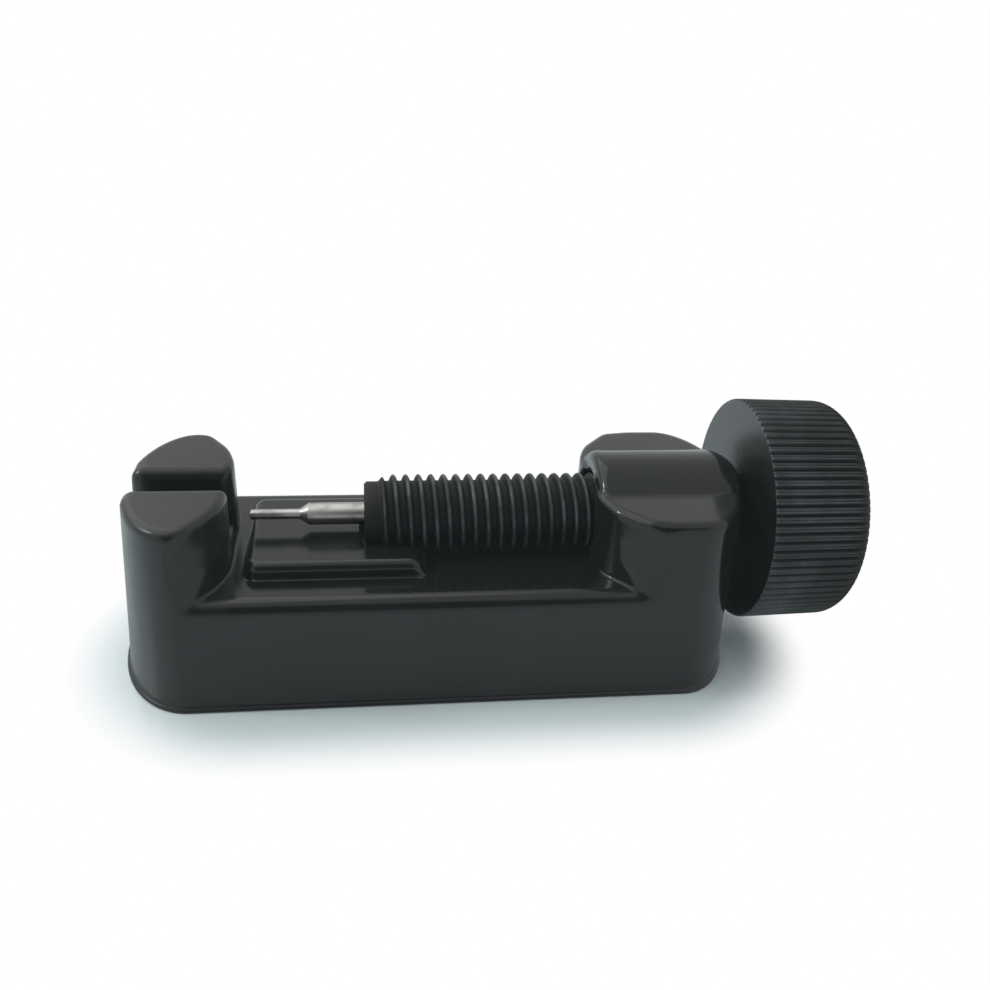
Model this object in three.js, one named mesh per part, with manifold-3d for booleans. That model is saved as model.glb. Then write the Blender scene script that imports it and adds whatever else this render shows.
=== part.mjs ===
// Watch link remover: a moulded frame with a cradle between two posts, and a knurled
// knob on a screw spindle that pushes a steel punch pin along the cradle.
// Millimetres, +Z up. The spindle runs along X, with the knob at the +X end.
// The origin is the middle of the underside of the whole tool.

import * as THREE from 'three';
import { mergeVertices } from 'three/addons/utils/BufferGeometryUtils.js';
import Module from 'manifold-3d';

// Moulded frame, in plan: X is counted from the left end of the base
const frameLength = 73.5;
const baseWidth = 27.1;
const sideDraft = 0.037;
const leftEndDraft = 0.062;
const rightEndDraft = 0.02;
const leftPostLength = 13.1;
const rightPostLength = 18.4;
const leftEndRound = 8.6;
const rightEndRound = 7.4;
const leftCornerLength = 4.0;
const leftCornerDepth = 6.3;
const rightCornerLength = 4.7;
const rightCornerDepth = 6.4;
const cornerPower = 1.3;

// Moulded frame, in height
const axisHeight = 17.8;
const shoulderAboveAxis = 4.85;
const floorBelowAxis = 4.45;
const topEdgeRadius = 0.9;
const floorEdgeRadius = 1.5;
const footHeight = 0.5;
const footProud = 0.4;

// Slot that splits the left post, for the link pin that comes out
const slotWidth = 3.8;
const slotBelowAxis = 2.6;
const slotEdgeRadius = 1.0;

// Raised pad that the watch band lies on
const padGap = 1.8;
const padLength = 18.8;
const padWidth = 16.2;
const padBelowAxis = 2.0;
const padRampRun = 2.2;
const padCornerRadius = 1.3;
const padEdgeRadius = 0.7;

// Screw boss on top of the right post
const bossRadius = 7.25;
const bossInset = 0.4;
const bossEndRadius = 3.0;
const bossInnerEndRadius = 1.0;
const bossProud = 0.25;

// Channel in the cradle floor below the spindle
const troughWidth = 4.2;
const troughBelowAxis = 4.95;

// Cored underside
const wall = 2.4;
const coreDraft = 0.02;
const ribThickness = 2.0;
const ribCount = 1;

// Spindle, on its axis
const spindleDiameter = 9.1;
const spindleRootDiameter = 7.7;
const spindleLeadDiameter = 7.5;
const spindleLeadLength = 1.7;
const spindleNeckLength = 0.9;
const spindleTipFromLeft = 28.3;
const spindleClearance = 0.32;
const endChamfer = 0.25;
const driveFlats = 6.4;
const driveLength = 7.5;
const threadPitch = 1.5;
const threadFirstCrest = 2.05;
const threadTopShare = 0.22;
const threadFootShare = 0.6;

// Knob
const knobDiameter = 27.2;
const knobOuterDiameter = 26.7;
const knobLength = 12.4;
const knobGap = 0.4;
const knobEdgeRadius = 2.5;
const knobDome = 0.3;
const knobRim = 0.35;
const ribsOnKnob = 80;
const knobRibDepth = 0.35;
const ribCrestShare = 0.45;

// Punch pin
const pinReach = 13.2;
const pinTipDiameter = 1.2;
const pinTipLength = 5.75;
const pinConeLength = 0.95;
const pinShankDiameter = 2.6;
const pinSocketDepth = 8.0;
const pinTipRound = 0.15;

// Fits and working values
const fitGap = 0.3;
const slideGap = 0.15;
const overrun = 3.0;
const embed = 0.5;
const endSteps = 12;
const cornerSteps = 6;
const filletSteps = 4;
const roundSteps = 48;
const threadSteps = 20;
const ellipsePower = 2;
const threadRunIn = 2;
const mergeDistance = 1e-4;
const repeatDistance = 1e-6;

// Values that follow from the sizes above
const shoulderHeight = axisHeight + shoulderAboveAxis;
const floorHeight = axisHeight - floorBelowAxis;
const padHeight = axisHeight - padBelowAxis;
const slotFloorHeight = axisHeight - slotBelowAxis;
const leftFaceX = leftPostLength;
const rightFaceX = frameLength - rightPostLength;
const boreRadius = spindleDiameter / 2 + spindleClearance;
const coreRoofHeight = axisHeight - boreRadius - wall;
const knobFaceX = frameLength + knobGap;
const boreStartX = spindleTipFromLeft - knobGap;
const threadCrest = spindleDiameter / 2;
const threadRoot = spindleRootDiameter / 2;
const threadEndX = knobFaceX - fitGap - spindleNeckLength;
const toolStartX = -footProud;
const toolEndX = knobFaceX + knobLength;
const toolMiddleX = (toolStartX + toolEndX) / 2;

const wasm = await Module();
wasm.setup();

function toSolid(geometry) {
  const plain = geometry.clone();
  plain.deleteAttribute('normal');
  plain.deleteAttribute('uv');
  const merged = mergeVertices(plain, mergeDistance);
  return new wasm.Manifold(new wasm.Mesh({
    numProp: 3,
    vertProperties: new Float32Array(merged.attributes.position.array),
    triVerts: new Uint32Array(merged.index.array),
  }));
}

function toGeometry(solid) {
  const mesh = solid.getMesh();
  const geometry = new THREE.BufferGeometry();
  geometry.setAttribute('position', new THREE.BufferAttribute(new Float32Array(mesh.vertProperties), 3));
  geometry.setIndex(new THREE.BufferAttribute(new Uint32Array(mesh.triVerts), 1));
  geometry.computeVertexNormals();
  return geometry;
}

// A closed solid through level outlines that all have the same number of points
function loft(levels) {
  const count = levels[0].outline.length;
  const positions = levels.flatMap(({ outline, z }) => outline.flatMap((p) => [p.x, p.y, z]));
  const index = [];
  for (let level = 0; level + 1 < levels.length; level += 1) {
    for (let i = 0; i < count; i += 1) {
      const next = (i + 1) % count;
      const a = level * count + i;
      const b = level * count + next;
      index.push(a, b, b + count, a, b + count, a + count);
    }
  }
  const last = (levels.length - 1) * count;
  for (const [a, b, c] of THREE.ShapeUtils.triangulateShape(levels[0].outline, [])) {
    index.push(a, c, b);
  }
  for (const [a, b, c] of THREE.ShapeUtils.triangulateShape(levels.at(-1).outline, [])) {
    index.push(last + a, last + b, last + c);
  }
  const geometry = new THREE.BufferGeometry();
  geometry.setAttribute('position', new THREE.Float32BufferAttribute(positions, 3));
  geometry.setIndex(index);
  return geometry;
}

// Moves a counterclockwise outline inwards by a distance, corner by corner
function inset(outline, distance) {
  const count = outline.length;
  return outline.map((point, i) => {
    const before = outline[(i + count - 1) % count];
    const after = outline[(i + 1) % count];
    const along = point.clone().sub(before).normalize();
    const onward = after.clone().sub(point).normalize();
    const first = new THREE.Vector2(-along.y, along.x);
    const second = new THREE.Vector2(-onward.y, onward.x);
    const middle = first.clone().add(second).normalize();
    return point.clone().addScaledVector(middle, distance / middle.dot(first));
  });
}

// Levels of a drafted block whose top edge is rounded
function roundedBlock(outlineAt, bottom, top, radius) {
  const levels = [{ outline: outlineAt(bottom), z: bottom }];
  for (let step = 0; step <= filletSteps; step += 1) {
    const angle = (step / filletSteps) * Math.PI / 2;
    const z = top - radius * (1 - Math.sin(angle));
    levels.push({ outline: inset(outlineAt(z), radius * (1 - Math.cos(angle))), z });
  }
  return loft(levels);
}

// Half of the frame's width, and its two end points, at a height
const halfWidthAt = (z) => baseWidth / 2 - sideDraft * z;
const leftTipAt = (z) => leftEndDraft * z;
const rightTipAt = (z) => frameLength - rightEndDraft * z;

// A quarter of a rounded corner: a superellipse from its first to its last angle
function cornerArc(centre, length, depth, from, to, power, steps) {
  const points = [];
  for (let step = 0; step <= steps; step += 1) {
    const angle = from + (to - from) * (step / steps);
    const across = Math.sign(Math.cos(angle)) * Math.abs(Math.cos(angle)) ** (2 / power);
    const along = Math.sign(Math.sin(angle)) * Math.abs(Math.sin(angle)) ** (2 / power);
    points.push(new THREE.Vector2(centre.x + length * across, centre.y + depth * along));
  }
  return points;
}

const mirrored = (points) => points.map((p) => new THREE.Vector2(p.x, -p.y)).reverse();

function withoutRepeats(points) {
  const before = (i) => points[(i + points.length - 1) % points.length];
  return points.filter((p, i) => p.distanceTo(before(i)) > repeatDistance);
}

// Near half of the base outline, from the left tip along -Y to the right tip
function barHalf(z, grow) {
  const half = halfWidthAt(z) + grow;
  const left = { x: leftEndRound, y: 0 };
  const right = { x: frameLength - rightEndRound, y: 0 };
  const leftLength = leftEndRound - leftTipAt(z) + grow;
  const rightLength = rightTipAt(z) - right.x + grow;
  return [
    ...cornerArc(left, leftLength, half, Math.PI, 1.5 * Math.PI, ellipsePower, endSteps),
    ...cornerArc(right, rightLength, half, 1.5 * Math.PI, 2 * Math.PI, ellipsePower, endSteps),
  ];
}

function barOutline(z, grow = 0) {
  const near = barHalf(z, grow);
  return withoutRepeats([...near, ...mirrored(near)]);
}

// The left post: the rounded outer end, a straight stretch that outlives the inset of the top
// edge, then the corner into the cradle
function leftPostOutline(z) {
  const half = halfWidthAt(z);
  const end = { x: leftEndRound, y: 0 };
  const endLength = leftEndRound - leftTipAt(z);
  const length = Math.min(leftCornerLength, leftFaceX - leftEndRound - topEdgeRadius / 2);
  const depth = leftCornerDepth;
  const corner = { x: leftFaceX - length, y: depth - half };
  const near = [
    ...cornerArc(end, endLength, half, Math.PI, 1.5 * Math.PI, ellipsePower, endSteps),
    ...cornerArc(corner, length, depth, 1.5 * Math.PI, 2 * Math.PI, cornerPower, cornerSteps),
  ];
  return withoutRepeats([...near, ...mirrored(near)]);
}

function rightPostOutline(z) {
  const half = halfWidthAt(z);
  const end = { x: frameLength - rightEndRound, y: 0 };
  const endLength = rightTipAt(z) - end.x;
  const length = rightCornerLength;
  const depth = rightCornerDepth;
  const corner = { x: rightFaceX + length, y: depth - half };
  const near = [
    ...cornerArc(corner, length, depth, Math.PI, 1.5 * Math.PI, cornerPower, cornerSteps),
    ...cornerArc(end, endLength, half, 1.5 * Math.PI, 2 * Math.PI, ellipsePower, endSteps),
  ];
  return withoutRepeats([...near, ...mirrored(near)]);
}

// A rectangle with round corners, counterclockwise
function roundedRectangle(left, right, halfWidth, radius) {
  const start = { x: left + radius, y: radius - halfWidth };
  const end = { x: right - radius, y: radius - halfWidth };
  const near = [
    ...cornerArc(start, radius, radius, Math.PI, 1.5 * Math.PI, ellipsePower, filletSteps),
    ...cornerArc(end, radius, radius, 1.5 * Math.PI, 2 * Math.PI, ellipsePower, filletSteps),
  ];
  return [...near, ...mirrored(near)];
}

// The pad's right end slopes down to the floor
function padOutline(z) {
  const left = leftFaceX + padGap;
  const slope = (padHeight - z) / (padHeight - floorHeight);
  return roundedRectangle(left, left + padLength + padRampRun * slope, padWidth / 2, padCornerRadius);
}

// A solid of revolution on the spindle's axis, from points of distance along X and radius
function turned(profile, steps = roundSteps) {
  const points = profile.map(([x, radius]) => new THREE.Vector2(radius, x));
  const geometry = new THREE.LatheGeometry(points, steps);
  geometry.rotateZ(-Math.PI / 2);
  geometry.translate(0, 0, axisHeight);
  return geometry;
}

function rodAlongAxis(from, to, radius) {
  return turned([[from, 0], [from, radius], [to, radius], [to, 0]]);
}

function hexAlongAxis(from, to, flats) {
  const geometry = new THREE.CylinderGeometry(flats / Math.sqrt(3), flats / Math.sqrt(3), to - from, 6);
  geometry.rotateZ(Math.PI / 2);
  geometry.translate((from + to) / 2, 0, axisHeight);
  return geometry;
}

// A round edge on a turned profile: from the flat end to the side, or back when it closes
function turnedEdge(end, towards, side, radius) {
  const points = [];
  for (let step = 0; step <= cornerSteps; step += 1) {
    const angle = (step / cornerSteps) * Math.PI / 2;
    points.push([
      end + towards * radius * (1 - Math.sin(angle)),
      side - radius * (1 - Math.cos(angle)),
    ]);
  }
  return towards > 0 ? points.reverse() : points;
}

function bossProfile() {
  const start = rightFaceX + bossInset;
  const end = rightTipAt(axisHeight) + bossProud;
  return [
    [start, 0],
    ...turnedEdge(start, 1, bossRadius, bossInnerEndRadius),
    ...turnedEdge(end, -1, bossRadius, bossEndRadius),
    [end, 0],
  ];
}

// One pocket of the cored underside, between two ribs
function corePocket(left, right) {
  const pocketAt = (z) => {
    const lean = coreDraft * z;
    return [
      new THREE.Vector2(left + lean, lean - baseWidth),
      new THREE.Vector2(right - lean, lean - baseWidth),
      new THREE.Vector2(right - lean, baseWidth - lean),
      new THREE.Vector2(left + lean, baseWidth - lean),
    ];
  };
  return loft([
    { outline: pocketAt(-overrun), z: -overrun },
    { outline: pocketAt(coreRoofHeight), z: coreRoofHeight },
  ]);
}

function coreSolid() {
  const coreAt = (z) => inset(barOutline(z), wall + coreDraft * z);
  const whole = toSolid(loft([
    { outline: coreAt(-overrun), z: -overrun },
    { outline: coreAt(coreRoofHeight), z: coreRoofHeight },
  ]));
  const clear = frameLength - 2 * wall;
  const pocketLength = (clear - ribCount * ribThickness) / (ribCount + 1);
  const pockets = [];
  for (let i = 0; i <= ribCount; i += 1) {
    const start = wall + i * (pocketLength + ribThickness);
    const left = i === 0 ? -overrun : start;
    const right = i === ribCount ? frameLength + overrun : start + pocketLength;
    pockets.push(toSolid(corePocket(left, right)));
  }
  return whole.intersect(wasm.Manifold.union(pockets));
}

// What the slot takes away: its sides flare at the top, where the post's edges are round
function slotGeometry() {
  const end = leftFaceX + padGap / 2;
  const outlineAt = (half) => [
    new THREE.Vector2(-overrun, -half),
    new THREE.Vector2(end, -half),
    new THREE.Vector2(end, half),
    new THREE.Vector2(-overrun, half),
  ];
  const half = slotWidth / 2;
  const levels = [{ outline: outlineAt(half), z: slotFloorHeight }];
  for (let step = 0; step <= filletSteps; step += 1) {
    const angle = (step / filletSteps) * Math.PI / 2;
    levels.push({
      outline: outlineAt(half + slotEdgeRadius * (1 - Math.cos(angle))),
      z: shoulderHeight - slotEdgeRadius * (1 - Math.sin(angle)),
    });
  }
  levels.push({ outline: outlineAt(half + slotEdgeRadius), z: shoulderHeight + overrun });
  return loft(levels);
}

// The posts stand on the level where the bar's top edge starts to round
function frameGeometry() {
  const postStart = floorHeight - floorEdgeRadius;
  const foot = loft([
    { outline: barOutline(0, footProud), z: 0 },
    { outline: barOutline(footHeight, footProud), z: footHeight },
  ]);
  const body = wasm.Manifold.union([
    toSolid(foot),
    toSolid(roundedBlock((z) => barOutline(z), 0, floorHeight, floorEdgeRadius)),
    toSolid(roundedBlock(leftPostOutline, postStart, shoulderHeight, topEdgeRadius)),
    toSolid(roundedBlock(rightPostOutline, postStart, shoulderHeight, topEdgeRadius)),
    toSolid(roundedBlock(padOutline, floorHeight - embed, padHeight, padEdgeRadius)),
    toSolid(turned(bossProfile())),
  ]);
  const bore = toSolid(rodAlongAxis(boreStartX, frameLength + overrun, boreRadius));
  const cuts = [toSolid(slotGeometry()), bore, toSolid(troughGeometry()), coreSolid()];
  return toGeometry(body.subtract(wasm.Manifold.union(cuts)));
}

// The flat-bottomed channel in the cradle floor that clears the spindle
function troughGeometry() {
  const start = boreStartX + embed;
  const end = rightFaceX + bossInset + embed;
  const geometry = new THREE.BoxGeometry(end - start, troughWidth, troughBelowAxis);
  geometry.translate((start + end) / 2, 0, axisHeight - troughBelowAxis / 2);
  return geometry;
}

// The ridge of the thread: four points a step, wound round the axis, closed by a fan at each end
function threadGeometry() {
  const top = threadPitch * threadTopShare / 2;
  const foot = threadPitch * threadFootShare / 2;
  const section = [[-foot, threadRoot], [-top, threadCrest], [top, threadCrest], [foot, threadRoot]];
  const startX = spindleTipFromLeft + threadFirstCrest - threadPitch * (threadRunIn + 0.25);
  const turns = Math.ceil((threadEndX - startX) / threadPitch) + threadRunIn;
  const steps = turns * threadSteps;
  const positions = [];
  for (let step = 0; step <= steps; step += 1) {
    const turn = step / threadSteps;
    const angle = 2 * Math.PI * turn;
    for (const [along, radius] of section) {
      const height = axisHeight + radius * Math.sin(angle);
      positions.push(startX + threadPitch * turn + along, radius * Math.cos(angle), height);
    }
  }
  const at = (step, place) => step * section.length + place;
  const end = section.length - 1;
  const index = [];
  const quad = (a, b, c, d) => index.push(a, b, c, a, c, d);
  for (let step = 0; step < steps; step += 1) {
    for (let place = 0; place < end; place += 1) {
      quad(at(step, place), at(step + 1, place), at(step + 1, place + 1), at(step, place + 1));
    }
    const onward = step + threadSteps;
    if (onward < steps) {
      quad(at(step, end), at(step + 1, end), at(onward + 1, 0), at(onward, 0));
    }
  }
  const centre = positions.length / 3;
  positions.push(startX - foot, 0, axisHeight, startX + threadPitch * turns + foot, 0, axisHeight);
  const first = [];
  const last = [];
  for (let step = 0; step <= threadSteps; step += 1) {
    first.push(at(threadSteps - step, 0));
    last.push(at(steps - threadSteps + step, end));
  }
  for (let place = 1; place <= end; place += 1) {
    first.push(at(0, place));
    last.push(at(steps, end - place));
  }
  [first, last].forEach((loop, which) => {
    loop.forEach((point, i) => index.push(centre + which, point, loop[(i + 1) % loop.length]));
  });
  const geometry = new THREE.BufferGeometry();
  geometry.setAttribute('position', new THREE.Float32BufferAttribute(positions, 3));
  geometry.setIndex(index);
  return geometry;
}

function spindleGeometry() {
  const lead = spindleLeadDiameter / 2;
  const neck = threadCrest - endChamfer;
  const tip = spindleTipFromLeft;
  const seat = knobFaceX - fitGap;
  const core = toSolid(turned([
    [tip, 0],
    [tip, lead - endChamfer],
    [tip + endChamfer, lead],
    [threadEndX - embed, lead],
    [threadEndX - embed, neck],
    [seat, neck],
    [seat, 0],
  ]));
  const stretch = toSolid(rodAlongAxis(tip + spindleLeadLength, threadEndX, threadCrest + overrun));
  const rod = core.add(toSolid(threadGeometry()).intersect(stretch));
  const drive = toSolid(hexAlongAxis(seat - embed, knobFaceX + driveLength, driveFlats));
  const bore = pinShankDiameter / 2 + slideGap;
  const socket = toSolid(rodAlongAxis(tip - overrun, tip + pinSocketDepth, bore));
  return toGeometry(rod.add(drive).subtract(socket));
}

// The knob's ribbed ring at one station: crests, and valleys that run out at the round edge
function knobRing(radius, depth) {
  const points = [];
  const pitch = 2 * Math.PI / ribsOnKnob;
  for (let rib = 0; rib < ribsOnKnob; rib += 1) {
    const middle = rib * pitch;
    const half = pitch * ribCrestShare / 2;
    const corners = [
      [middle - half, radius],
      [middle + half, radius],
      [middle + pitch / 2, radius - depth],
    ];
    for (const [angle, r] of corners) {
      points.push(new THREE.Vector2(r * Math.cos(angle), r * Math.sin(angle)));
    }
  }
  return points;
}

function knobGeometry() {
  const roundStart = knobLength - knobDome - knobEdgeRadius;
  const outer = knobOuterDiameter / 2;
  const levels = [
    { outline: knobRing(knobDiameter / 2 - knobRim, 0), z: 0 },
    { outline: knobRing(knobDiameter / 2, knobRibDepth), z: knobRim },
  ];
  for (let step = 0; step <= filletSteps; step += 1) {
    const share = step / filletSteps;
    const angle = share * Math.PI / 2;
    const radius = outer - knobEdgeRadius * (1 - Math.cos(angle));
    levels.push({
      outline: knobRing(radius, knobRibDepth * (1 - share)),
      z: roundStart + knobEdgeRadius * Math.sin(angle),
    });
  }
  levels.push({ outline: knobRing((outer - knobEdgeRadius) / 2, 0), z: knobLength });
  const body = loft(levels);
  body.rotateY(Math.PI / 2);
  body.translate(knobFaceX, 0, axisHeight);
  const socket = hexAlongAxis(
    knobFaceX - overrun,
    knobFaceX + driveLength + fitGap,
    driveFlats + 2 * slideGap,
  );
  return toGeometry(toSolid(body).subtract(toSolid(socket)));
}

function pinGeometry() {
  const tip = spindleTipFromLeft - pinReach;
  const thin = pinTipDiameter / 2;
  const thick = pinShankDiameter / 2;
  return turned([
    [tip, 0],
    [tip, thin - pinTipRound],
    [tip + pinTipRound, thin],
    [tip + pinTipLength, thin],
    [tip + pinTipLength + pinConeLength, thick],
    [spindleTipFromLeft + pinSocketDepth - fitGap, thick],
    [spindleTipFromLeft + pinSocketDepth - fitGap, 0],
  ], roundSteps / 2);
}

const frameMaterial = new THREE.MeshStandardMaterial({ color: 0x1b1e1f, roughness: 0.28, metalness: 0 });
const spindleMaterial = new THREE.MeshStandardMaterial({ color: 0x1f2122, roughness: 0.45, metalness: 0 });
const knobMaterial = new THREE.MeshStandardMaterial({ color: 0x202324, roughness: 0.6, metalness: 0 });
const pinMaterial = new THREE.MeshStandardMaterial({ color: 0xb9b8b2, roughness: 0.25, metalness: 1 });

function piece(name, geometry, material) {
  const mesh = new THREE.Mesh(geometry, material);
  mesh.name = name;
  return mesh;
}

const tool = new THREE.Group();
const screw = new THREE.Group();
screw.add(
  piece('punch_pin', pinGeometry(), pinMaterial),
  piece('screw_spindle', spindleGeometry(), spindleMaterial),
  piece('knurled_knob', knobGeometry(), knobMaterial),
);
tool.add(piece('moulded_frame', frameGeometry(), frameMaterial), screw);
tool.position.x = -toolMiddleX;

export default tool;
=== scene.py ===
"""Looks of a watch link remover: moulded frame, screw spindle, knurled knob and punch pin."""

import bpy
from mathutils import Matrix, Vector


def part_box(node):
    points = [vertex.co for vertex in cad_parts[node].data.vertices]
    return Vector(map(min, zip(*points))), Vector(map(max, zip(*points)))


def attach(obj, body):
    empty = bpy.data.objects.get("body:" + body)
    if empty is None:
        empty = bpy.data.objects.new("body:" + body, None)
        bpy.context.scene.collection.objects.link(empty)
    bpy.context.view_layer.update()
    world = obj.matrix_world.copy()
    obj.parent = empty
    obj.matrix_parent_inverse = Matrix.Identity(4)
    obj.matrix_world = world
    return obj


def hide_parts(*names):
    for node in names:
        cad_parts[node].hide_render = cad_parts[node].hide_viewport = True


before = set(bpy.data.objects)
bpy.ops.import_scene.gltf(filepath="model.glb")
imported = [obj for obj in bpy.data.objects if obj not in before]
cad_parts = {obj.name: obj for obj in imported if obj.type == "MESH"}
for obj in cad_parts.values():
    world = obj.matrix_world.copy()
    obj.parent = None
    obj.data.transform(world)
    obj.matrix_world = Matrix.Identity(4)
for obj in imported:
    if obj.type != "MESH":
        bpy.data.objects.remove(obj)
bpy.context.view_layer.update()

import math

import bpy
import numpy as np
from bpy.props import FloatProperty, FloatVectorProperty, IntProperty, PointerProperty
from mathutils import Matrix, Vector

bl_info = {
    "name": "Watch link remover",
    "version": (1, 0, 0),
    "blender": (4, 5, 0),
    "location": "View3D > Sidebar > Link tool",
    "description": "Builds the looks of a watch link remover around its packed model",
    "category": "Object",
}

MM = 0.001
TINY = 1e-7

# How finely the pieces are divided
FINE_LAYERS = 3
SPINDLE_COLUMNS = 84
ROWS_A_TURN = 20
COLUMNS_A_RIB = 10
KNOB_RIM_ROWS = 5
KNOB_SIDE_ROWS = 8
KNOB_EDGE_ROWS = 12
KNOB_FACE_ROWS = 8
PIN_COLUMNS = 64

# Corners of a grid cell and of a quad, and the step and the least slope for settling on a surface
CELL_CORNERS = [(i, j, k) for i in (0, 1) for j in (0, 1) for k in (0, 1)]
QUAD_CORNERS = [(0, 0), (1, 0), (1, 1), (0, 1)]
SLOPE_STEP = 0.04 * MM
LEAST_SLOPE = 0.2

# Powers that shape the thread's ridge and the knob's grooves: below 1 fuller, above 1 sharper
RIDGE_POWER = 0.7
GROOVE_POWER = 2.2
DIP_POWER = 8

# Colours and places of the light
WHITE = (1.0, 1.0, 1.0)
DARK = (0.08, 0.083, 0.086)
DARK_DIRECTION = (-0.05, -0.86, 0.5)
DARK_START, DARK_FULL = 0.82, 0.96
KEY_PLACE = (-0.35, 0.25, 0.62)
WINDOW_PLACE = (-0.6, 0.05, 0.47)

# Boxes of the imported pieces
FRAME_LOW, FRAME_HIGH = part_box("moulded_frame")
SPINDLE_LOW, SPINDLE_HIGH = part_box("screw_spindle")
KNOB_LOW, KNOB_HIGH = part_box("knurled_knob")
PIN_LOW, PIN_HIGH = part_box("punch_pin")
AXIS_HEIGHT = (KNOB_LOW.z + KNOB_HIGH.z) / 2


def length(name, description, default):
    """A size in metres that a user can change."""
    return FloatProperty(
        name=name, description=description, default=default, unit="LENGTH", precision=5)


def share(name, description, default):
    """A plain number from nothing upwards."""
    return FloatProperty(name=name, description=description, default=default, min=0.0, precision=3)


def colour(name, description, default):
    """A linear colour."""
    return FloatVectorProperty(
        name=name, description=description, default=default, size=3, subtype="COLOR",
        min=0.0, max=1.0)


def angle(name, description, degrees):
    """An angle, kept in radians."""
    return FloatProperty(
        name=name, description=description, default=math.radians(degrees), subtype="ANGLE")


class MouldingSizes(bpy.types.PropertyGroup):
    """Sizes of the moulded frame. Lengths along X count from the left end of its base."""

    frame_length: length("Frame length", "Length of the base without its foot rim", 73.5 * MM)
    base_width: length("Base width", "Width at the underside", 27.1 * MM)
    side_draft: share("Side draft", "How much each side leans in per unit of height", 0.037)
    left_end_draft: share(
        "Left end draft", "How much the left end leans in per unit of height", 0.062)
    right_end_draft: share(
        "Right end draft", "How much the right end leans in per unit of height", 0.02)
    left_end_round: length("Left end round", "Length of the round left end", 8.6 * MM)
    right_end_round: length("Right end round", "Length of the round right end", 7.4 * MM)
    left_post: length("Left post", "Length of the split post", 13.1 * MM)
    right_post: length("Right post", "Length of the boss post", 18.4 * MM)
    left_corner: length(
        "Left corner length", "Split post's cut corner along X, at its foot", 3.4 * MM)
    left_corner_depth: length(
        "Left corner depth", "Split post's cut corner across, at its foot", 5.0 * MM)
    left_corner_growth: share(
        "Left corner growth", "Growth of the split post's corner up to the shoulder", 0.12)
    right_corner: length("Right corner length", "Boss post's cut corner along X", 4.7 * MM)
    right_corner_depth: length("Right corner depth", "Boss post's cut corner across", 5.4 * MM)
    corner_start: length(
        "Corner start", "Where the wide outer edge starts, above the floor", 0.4 * MM)
    corner_fall: share(
        "Corner fall", "How much of the wide outer edge is gone at the shoulder", 0.8)
    corner_edge: length(
        "Corner edge", "Round between a cut corner and its post's inner face", 1.8 * MM)
    corner_outer_edge: length(
        "Corner outer edge", "Round between a cut corner and the outer side", 3.4 * MM)
    shoulder: length("Shoulder height", "Top of the posts above the screw's axis", 4.85 * MM)
    floor: length("Floor depth", "Cradle floor below the screw's axis", 3.9 * MM)
    top_edge: length("Top edge", "Round of the posts' top edges", 0.9 * MM)
    floor_edge: length("Floor edge", "Round of the cradle floor's long edges", 1.6 * MM)
    floor_blend: length(
        "Floor blend", "Height over which the floor's edge becomes a post's edge", 3.0 * MM)
    post_foot: length("Post foot", "Hollow round where a post meets the floor", 0.32 * MM)
    foot_height: length("Foot height", "Height of the rim round the base", 0.5 * MM)
    foot_proud: length("Foot proud", "How far the rim stands out", 0.4 * MM)
    foot_edge: length("Foot edge", "Round of the rim's edges", 0.24 * MM)
    slot_width: length("Slot width", "Width of the slot in the left post", 3.8 * MM)
    slot_depth: length("Slot depth", "Slot floor below the screw's axis", 2.6 * MM)
    slot_edge: length("Slot edge", "Round of the slot's top edges", 1.5 * MM)
    slot_mouth: length("Slot mouth", "Round of the slot's edges at the outer end", 1.5 * MM)
    pad_gap: length("Pad gap", "Floor between the left post and the pad", 1.8 * MM)
    pad_length: length("Pad length", "Length of the pad's flat top", 19.5 * MM)
    pad_width: length("Pad width", "Width of the pad's top", 16.0 * MM)
    pad_depth: length("Pad depth", "Pad top below the screw's axis", 2.0 * MM)
    pad_ramp: length("Pad ramp", "Run of the pad's sloping end", 1.0 * MM)
    pad_corner: length("Pad corner", "Round of the pad's corners seen from above", 1.5 * MM)
    pad_edge: length("Pad edge", "Round of the pad's top edge", 0.9 * MM)
    pad_side_lean: share("Pad side lean", "How much the pad's sides lean, in side drafts", 3.0)
    pad_foot: length("Pad foot", "Hollow round at the pad's foot", 0.15 * MM)
    boss_radius: length("Boss radius", "Radius of the screw boss", 7.25 * MM)
    boss_inset: length("Boss inset", "Boss end behind the right post's face", 0.4 * MM)
    boss_end: length("Boss end", "Round of the boss at the knob's side", 2.7 * MM)
    boss_end_start: length(
        "Boss end start", "Where that round starts, above the shoulder", 0.3 * MM)
    boss_end_blend: length(
        "Boss end blend", "Height over which that round grows to its full size", 1.5 * MM)
    boss_inner_end: length("Boss inner end", "Round of the boss at the cradle's side", 1.0 * MM)
    boss_foot: length("Boss foot", "Hollow round where the boss meets the shoulders", 0.22 * MM)
    bore_radius: length("Bore radius", "Radius of the bore through the boss and the pad", 4.87 * MM)
    bore_start: length("Bore start", "Where the bore's groove starts, from the left end", 27.9 * MM)
    groove_radius: length("Groove radius", "Radius of the groove in the cradle floor", 4.75 * MM)
    wall: length("Wall", "Wall round the hollow underside", 2.4 * MM)
    rib: length("Rib", "Thickness of the rib below the floor", 2.0 * MM)
    core_round: length("Hollow round", "Round of the underside's inner corners", 1.0 * MM)
    crisp_edge: length("Crisp edge", "Round of the edges that look sharp", 0.14 * MM)
    mesh_step: length("Mesh step", "Size of the moulding's faces", 0.384 * MM)


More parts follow.
